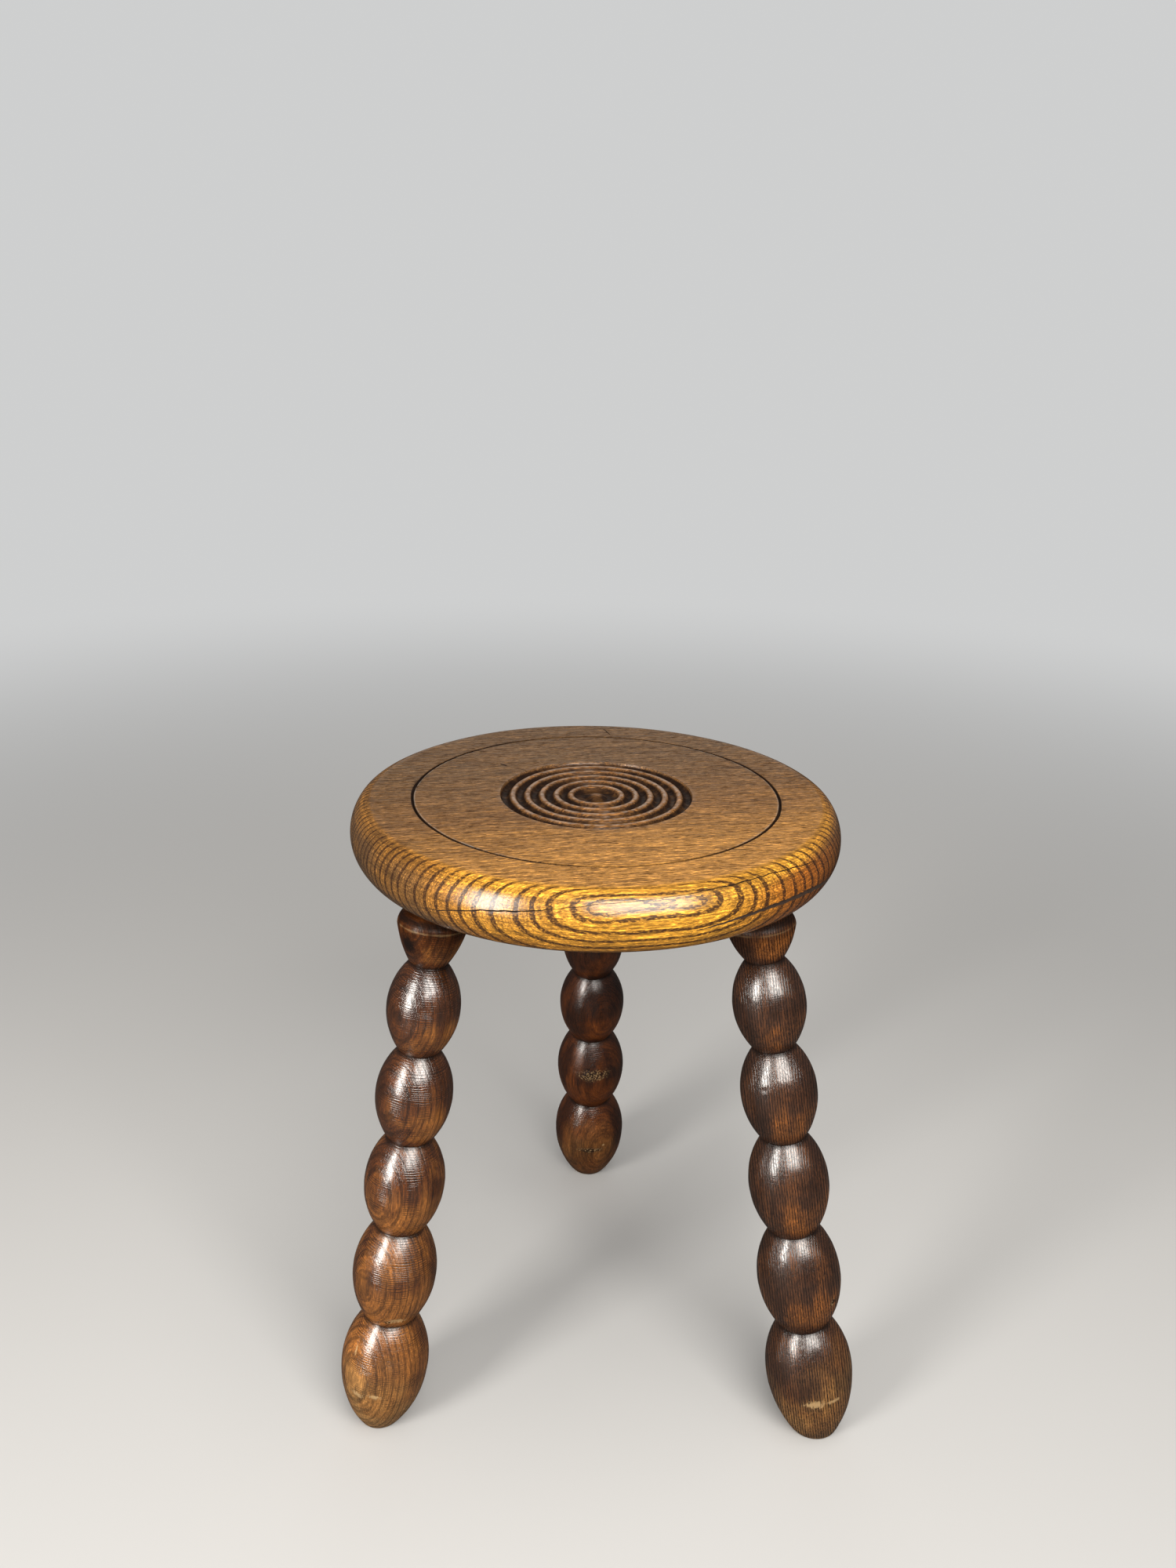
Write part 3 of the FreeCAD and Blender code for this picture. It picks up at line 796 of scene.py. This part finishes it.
def crack_cutter(path, depth, seed):
    """A closed wedge that follows a path of (point, normal, half width)."""
    over = CRACK_OVERRUN
    spots, normals, widths = (np.array(column) for column in zip(*path))
    ways = np.gradient(spots, axis=0)
    sides = np.cross(normals, ways)
    sides /= np.linalg.norm(sides, axis=1)[:, None]
    jitter = swings(spots, (3.0, 3.0, 3.0), seed)
    spots = spots + sides * (0.35 * swings(spots, (5.0, 5.0, 5.0), seed + 4))[:, None]
    wide = (widths * (1 + 0.4 * jitter))[:, None]
    deep = depth * np.sqrt(np.minimum(widths / np.max(widths), 1.0))[:, None]
    flare = wide * (1 + over / deep)
    left, right = spots + normals * over - sides * flare, spots + normals * over + sides * flare
    points = np.stack([left, right, spots - normals * deep], axis=1).reshape(-1, 3)
    faces = [[0, 1, 2], [3 * len(path) - 1, 3 * len(path) - 2, 3 * len(path) - 3]]
    for step in range(0, 3 * (len(path) - 1), 3):
        for a, b in ((0, 1), (1, 2), (2, 0)):
            faces.append([step + b, step + a, step + a + 3, step + b + 3])
    return points, faces


# The drying crack round the front of the rim: azimuth, arc below the edge of the flat top and
# half width
RIM_CRACK = ((-128.0, 30.6, 0.06), (-124.5, 29.0, 0.26), (-118.5, 24.9, 0.30), (-112.8, 21.4, 0.34),
             (-108.8, 19.8, 0.40), (-104.0, 18.2, 0.28), (-97.2, 15.1, 0.14), (-89.5, 11.9, 0.12),
             (-73.8, 9.4, 0.12), (-65.0, 8.5, 0.22), (-59.8, 8.3, 0.30), (-50.0, 8.2, 0.26),
             (-44.2, 9.8, 0.30), (-38.0, 12.0, 0.26), (-33.0, 13.5, 0.05))
# A dark gash lower down on the right
RIM_GASH = ((-70.0, 29.6, 0.10), (-65.0, 28.3, 0.50), (-60.0, 26.9, 0.70), (-52.0, 25.9, 0.90),
            (-44.0, 26.4, 1.20), (-39.0, 27.2, 1.55), (-32.0, 30.0, 1.70), (-25.5, 32.6, 1.3),
            (-20.0, 33.6, 0.15))
# The crack from a pore in the top into the wall of the rings: place from above and half width
TOP_CRACK = ((-63.0, 51.2, 0.15), (-61.2, 50.0, 1.15), (-59.4, 48.2, 0.95), (-57.8, 46.6, 0.25),
             (-53.7, 44.4, 0.24), (-46.9, 40.2, 0.34), (-44.5, 37.6, 0.42), (-44.2, 34.0, 0.20))
# A short dark tear by the rim at the back
BACK_TEAR = ((4.6, 131.0, 0.08), (6.0, 128.4, 0.40), (8.0, 122.6, 0.45), (10.4, 117.6, 0.08))


def on_rim(azimuth, arc):
    """The place and the outward direction at an arc below the edge of the flat top."""
    rim = rim_outline()[::-1]
    runs = np.concatenate([[0], np.cumsum(np.hypot(*np.diff(rim, axis=0).T))])
    radius, height = np.interp(arc, runs, rim[:, 0]), np.interp(arc, runs, rim[:, 1])
    ahead = np.array([np.interp(arc + 0.5, runs, rim[:, i]) - np.interp(arc - 0.5, runs, rim[:, i])
                      for i in (0, 1)])
    ahead /= np.hypot(*ahead)
    turn = math.radians(azimuth)
    outward, up = -ahead[1], ahead[0]
    point = (radius * math.cos(turn), radius * math.sin(turn), height)
    return point, (outward * math.cos(turn), outward * math.sin(turn), up)


def rim_path(knots, step=0.5):
    azimuths, arcs, widths = zip(*knots)
    return [(*on_rim(azimuth, np.interp(azimuth, azimuths, arcs)), np.interp(azimuth, azimuths, widths))
            for azimuth in np.arange(azimuths[0], azimuths[-1], step)]


def top_path(knots, step=0.7):
    knots = np.array(knots)
    runs = np.concatenate([[0], np.cumsum(np.hypot(*np.diff(knots[:, :2], axis=0).T))])
    return [((np.interp(run, runs, knots[:, 0]), np.interp(run, runs, knots[:, 1]), SEAT_TOP), UP,
             np.interp(run, runs, knots[:, 2])) for run in np.arange(0, runs[-1], step)]


def make_seat():
    points, faces = turned(seat_outline(), SEAT_SEGMENTS)
    press_scribe(points)
    age_seat(points)
    seat = make_object("oak_seat", points, faces, [seat_oak(), crack_inside()])
    cutters = [bore_cutter(place) for place in PLACES.values()]
    cutters.append(crack_cutter(rim_path(RIM_CRACK), depth=2.5, seed=3.0))
    cutters.append(crack_cutter(rim_path(RIM_GASH), depth=1.5, seed=6.0))
    cutters.append(crack_cutter(top_path(TOP_CRACK), depth=1.6, seed=9.0))
    cutters.append(crack_cutter(top_path(BACK_TEAR), depth=0.9, seed=12.0))
    cut(seat, cutters)
    seat_values(seat.data)
    finish_piece(seat, "seat")


# The legs

# Where hands and knees have rubbed the lower half of each bead lighter: the angle round the leg
RUBBED_ANGLES = {"leg_front_left": 95.0, "leg_front_right": -25.0, "leg_rear": 215.0}
# The side on which each foot is worn higher up
WORN_ANGLES = {"leg_front_left": 32.0, "leg_front_right": -20.0, "leg_rear": 180.0}
# Dents in the legs' turned faces: drop down the leg, angle round it, length, width and depth
LEG_DENTS = {
    "leg_front_left": ((284.0, 72.0, 4.0, 7.0, 0.9), (309.0, 12.0, 11.0, 2.2, 0.4)),
    "leg_front_right": ((272.5, -12.5, 2.5, 3.5, 0.7), (325.0, -39.5, 1.6, 5.0, 0.3),
                        (120.0, -88.0, 1.5, 3.0, 0.3)),
    "leg_rear": ((255.0, 189.0, 5.0, 8.0, 0.35), (335.0, 184.0, 5.0, 7.0, 0.4)),
}
# A dark groove, painted as dirt and shade, runs round each shoulder, and the edge below it is rubbed
# pale: their drops
GROOVE_DROP, EDGE_DROP = 18.0, 22.2


def leg_values(mesh, name):
    """Gives a leg's mesh the values that its wood reads at each point."""
    points = mesh_points(mesh)
    own = moved(points, PLACES[name].inverted())
    drop, angle = -own[:, 2], np.degrees(np.arctan2(own[:, 1], own[:, 0]))
    uneven = swings(points, (6, 6, 6), seed=2.0)
    # the necks and a band round the shoulder are darkened: dirt and painted shade
    to_neck = np.min(np.abs(own[:, 2:] + np.array(NECK_DROPS[name])), axis=1)
    in_neck = smooth(to_neck + 0.6 * uneven, 2.6, 0.2)
    in_groove = 0.8 * smooth(np.abs(drop - GROOVE_DROP), 2.6, 0.8)
    set_value(mesh, "grime_and_shade", np.maximum(in_neck, in_groove))
    on_edge = smooth(np.abs(drop - EDGE_DROP) + 1.2 * np.abs(uneven), 0.9, 0.2)
    at_floor = smooth(points[:, 2] + 1.5 * uneven, 2.6, 0.6)
    set_value(mesh, "bare", np.maximum(0.7 * at_floor, 0.3 * FOOT_WEARS[name] ** 2 * on_edge))
    # the foot is worn all round near the floor, and higher up on one side
    from_worn_side = np.abs((angle - WORN_ANGLES[name] + 180) % 360 - 180)
    worn_height = 50.0 + 26.0 * smooth(from_worn_side, 80.0, 25.0)
    lifted = points[:, 2] + 14 * swings(points, (18, 18, 14), seed=5.0)
    set_value(mesh, "wear", FOOT_WEARS[name] * smooth(worn_height - lifted, 0.0, 42.0))
    # the lower half of each bead, on the side that turns to the right of the front
    stops = [0.0] + NECK_DROPS[name] + [LEG_LENGTHS[name]]
    share = np.interp(drop, stops, range(len(stops))) % 1
    aside = np.abs((angle - RUBBED_ANGLES[name] + 180) % 360 - 180) + 25 * uneven
    low = smooth(share, 0.42, 0.66) * smooth(share, 0.97, 0.84)
    set_value(mesh, "rubbed", low * smooth(aside, 75.0, 25.0))


def dent(own, name):
    """Presses the dents of old knocks into a leg's points, given in its own frame."""
    angle, drop = np.degrees(np.arctan2(own[:, 1], own[:, 0])), -own[:, 2]
    radius = np.maximum(np.hypot(own[:, 0], own[:, 1]), 1.0)
    pressed = np.zeros(len(own))
    for at_drop, at_angle, length, width, depth in LEG_DENTS[name]:
        aside = np.radians((angle - at_angle + 180) % 360 - 180) * radius
        away = np.hypot((drop - at_drop) / length, aside / width)
        pressed = np.maximum(pressed, depth * smooth(away, 1.0, 0.0))
    own[:, :2] *= (1 - pressed / radius)[:, None]


def round_sole(placed, place):
    """Saws the foot off at the floor and rounds the edge of its sole."""
    axis = np.array(place)[:3, 2]
    under = np.minimum(placed[:, 2], 0.0)
    placed -= under[:, None] * axis / axis[2]
    centre = np.array(place.translation) - axis * UNDERSIDE / axis[2]
    edge = np.max(np.hypot(*(placed[placed[:, 2] < 0.01, :2] - centre[:2]).T))
    low = np.clip(1 - placed[:, 2] / FOOT_EDGE_RADIUS, 0, 1)
    drawn_in = FOOT_EDGE_RADIUS * (1 - np.sqrt(1 - low * low)) / edge
    placed[:, :2] -= (placed[:, :2] - centre[:2]) * drawn_in[:, None]


def make_leg(name):
    place = PLACES[name]
    points, faces = turned(leg_outline(name), LEG_SEGMENTS)
    seed = 11.0 * list(PLACES).index(name)
    radius = np.hypot(points[:, 0], points[:, 1])
    uneven = 0.22 * swings(points, (30, 30, 24), seed) + 0.10 * swings(points, (7, 7, 7), seed + 3)
    below = smooth(points[:, 2], 0.0, -12.0)
    points[:, :2] *= (1 + below * uneven / np.maximum(radius, 1.0))[:, None]
    dent(points, name)
    rises = np.array(place)[2, :3]
    joint = np.isclose(points[:, 2], 0) & (radius > TENON_RADIUS - 0.1)
    points[joint, 2] -= (points[joint, :2] @ rises[:2]) / rises[2]
    placed = moved(points, place)
    round_sole(placed, place)
    leg = make_object("oak_" + name, placed, faces, [leg_oak(name)])
    leg_values(leg.data, name)
    finish_piece(leg, name)


# The studio

BACKDROP, FLOOR_TONE = (0.62, 0.625, 0.625, 1), (0.58, 0.58, 0.58, 1)
# What the polished wood mirrors of the room and the floor
MIRRORED_ROOM, MIRRORED_FLOOR = (0.08, 0.08, 0.08, 1), (0.07, 0.07, 0.07, 1)
AMBIENT_TONE, AMBIENT_STRENGTH = (1.0, 0.98, 0.95, 1), 0.26
LAMP_TONE = (1.0, 0.96, 0.90)
# The floor's half size, and where it starts to fade into the backdrop and is lost in it
FLOOR_REACH, FADE_START, FADE_END = 20000.0, 500.0, 2600.0


def make_floor():
    """A pale floor that fades into the backdrop with distance."""
    corners = [(x * FLOOR_REACH, y * FLOOR_REACH, 0) for x, y in ((-1, -1), (1, -1), (1, 1), (-1, 1))]
    shade = Shade("floor")
    floor = make_object("floor", corners, [(0, 1, 2, 3)], [shade.material])
    seen = shade.node("LightPath", {}, output="Is Camera Ray")
    shade.put(shade.surface.inputs["Base Color"], shade.blend(seen, MIRRORED_FLOOR, FLOOR_TONE))
    shade.surface.inputs["Roughness"].default_value = 0.7
    shade.surface.inputs["Specular IOR Level"].default_value = 0.2
    point = shade.grain_point(Matrix.Identity(4))
    distance = shade.node("VectorMath", {0: point}, output="Value", operation="LENGTH")
    far = shade.ramp(distance, FADE_START, FADE_END)
    glow = shade.node("Emission", {"Color": shade.blend(seen, MIRRORED_ROOM, BACKDROP)})
    mixed = shade.node("MixShader", {0: far, 1: shade.surface.outputs[0], 2: glow})
    shade.put(shade.tree.nodes["Material Output"].inputs["Surface"], mixed)


def make_world():
    """Soft light from all round, the backdrop's own colour where it is seen, a dim room mirrored."""
    world = bpy.data.worlds.new("studio")
    bpy.context.scene.world = world
    world.use_nodes = True
    tree = world.node_tree
    shown = tree.nodes["Background"]
    shown.inputs["Color"].default_value = AMBIENT_TONE
    shown.inputs["Strength"].default_value = AMBIENT_STRENGTH
    path = tree.nodes.new("ShaderNodeLightPath")
    for ray, colour in (("Is Glossy Ray", MIRRORED_ROOM), ("Is Camera Ray", BACKDROP)):
        seen = tree.nodes.new("ShaderNodeBackground")
        seen.inputs["Color"].default_value = colour
        mixed = tree.nodes.new("ShaderNodeMixShader")
        tree.links.new(path.outputs[ray], mixed.inputs[0])
        tree.links.new(shown.outputs[0], mixed.inputs[1])
        tree.links.new(seen.outputs[0], mixed.inputs[2])
        shown = mixed
    tree.links.new(shown.outputs[0], tree.nodes["World Output"].inputs["Surface"])


def make_light(name, azimuth, elevation, distance, width, height, power, mirrored=True):
    """A soft rectangular lamp that looks at the seat from a direction, at a distance in metres."""
    lamp = bpy.data.lights.new(name, "AREA")
    lamp.shape, lamp.size, lamp.size_y, lamp.energy = "RECTANGLE", width, height, power
    lamp.color = LAMP_TONE
    target = Vector((0, 0, UNDERSIDE * MM))
    turn, tilt = math.radians(azimuth), math.radians(elevation)
    away = Vector((math.cos(turn) * math.cos(tilt), math.sin(turn) * math.cos(tilt), math.sin(tilt)))
    made = bpy.data.objects.new(name, lamp)
    made.location = target + away * distance
    made.rotation_euler = away.to_track_quat("Z", "Y").to_euler()
    made.visible_glossy = mirrored
    bpy.context.scene.collection.objects.link(made)


def make_camera():
    pitch, roll = math.radians(CAMERA_PITCH), math.radians(CAMERA_ROLL)
    view = Matrix.Rotation(math.pi / 2 - pitch, 4, "X") @ Matrix.Rotation(roll, 4, "Z")
    data = bpy.data.cameras.new("camera")
    data.sensor_width, data.lens = SENSOR, SENSOR * FOCAL_PIXELS / IMAGE_HEIGHT
    camera = bpy.data.objects.new("camera", data)
    camera.matrix_world = Matrix.Translation(Vector(CAMERA_PLACE) * MM) @ view
    bpy.context.scene.collection.objects.link(camera)
    bpy.context.scene.camera = camera


make_seat()
for leg_name in PLACES:
    make_leg(leg_name)
make_floor()
make_world()
make_light("key", azimuth=-69, elevation=31, distance=1.2, width=0.80, height=0.72, power=15.5)
make_light("strip", azimuth=-134, elevation=14, distance=1.5, width=0.40, height=1.0, power=20)
make_light("top", azimuth=-60, elevation=75, distance=2.2, width=1.2, height=1.2, power=14,
           mirrored=False)
make_light("back", azimuth=90, elevation=17, distance=1.6, width=1.0, height=0.5, power=1.5)
make_camera()
bpy.context.scene.view_settings.view_transform = "Standard"
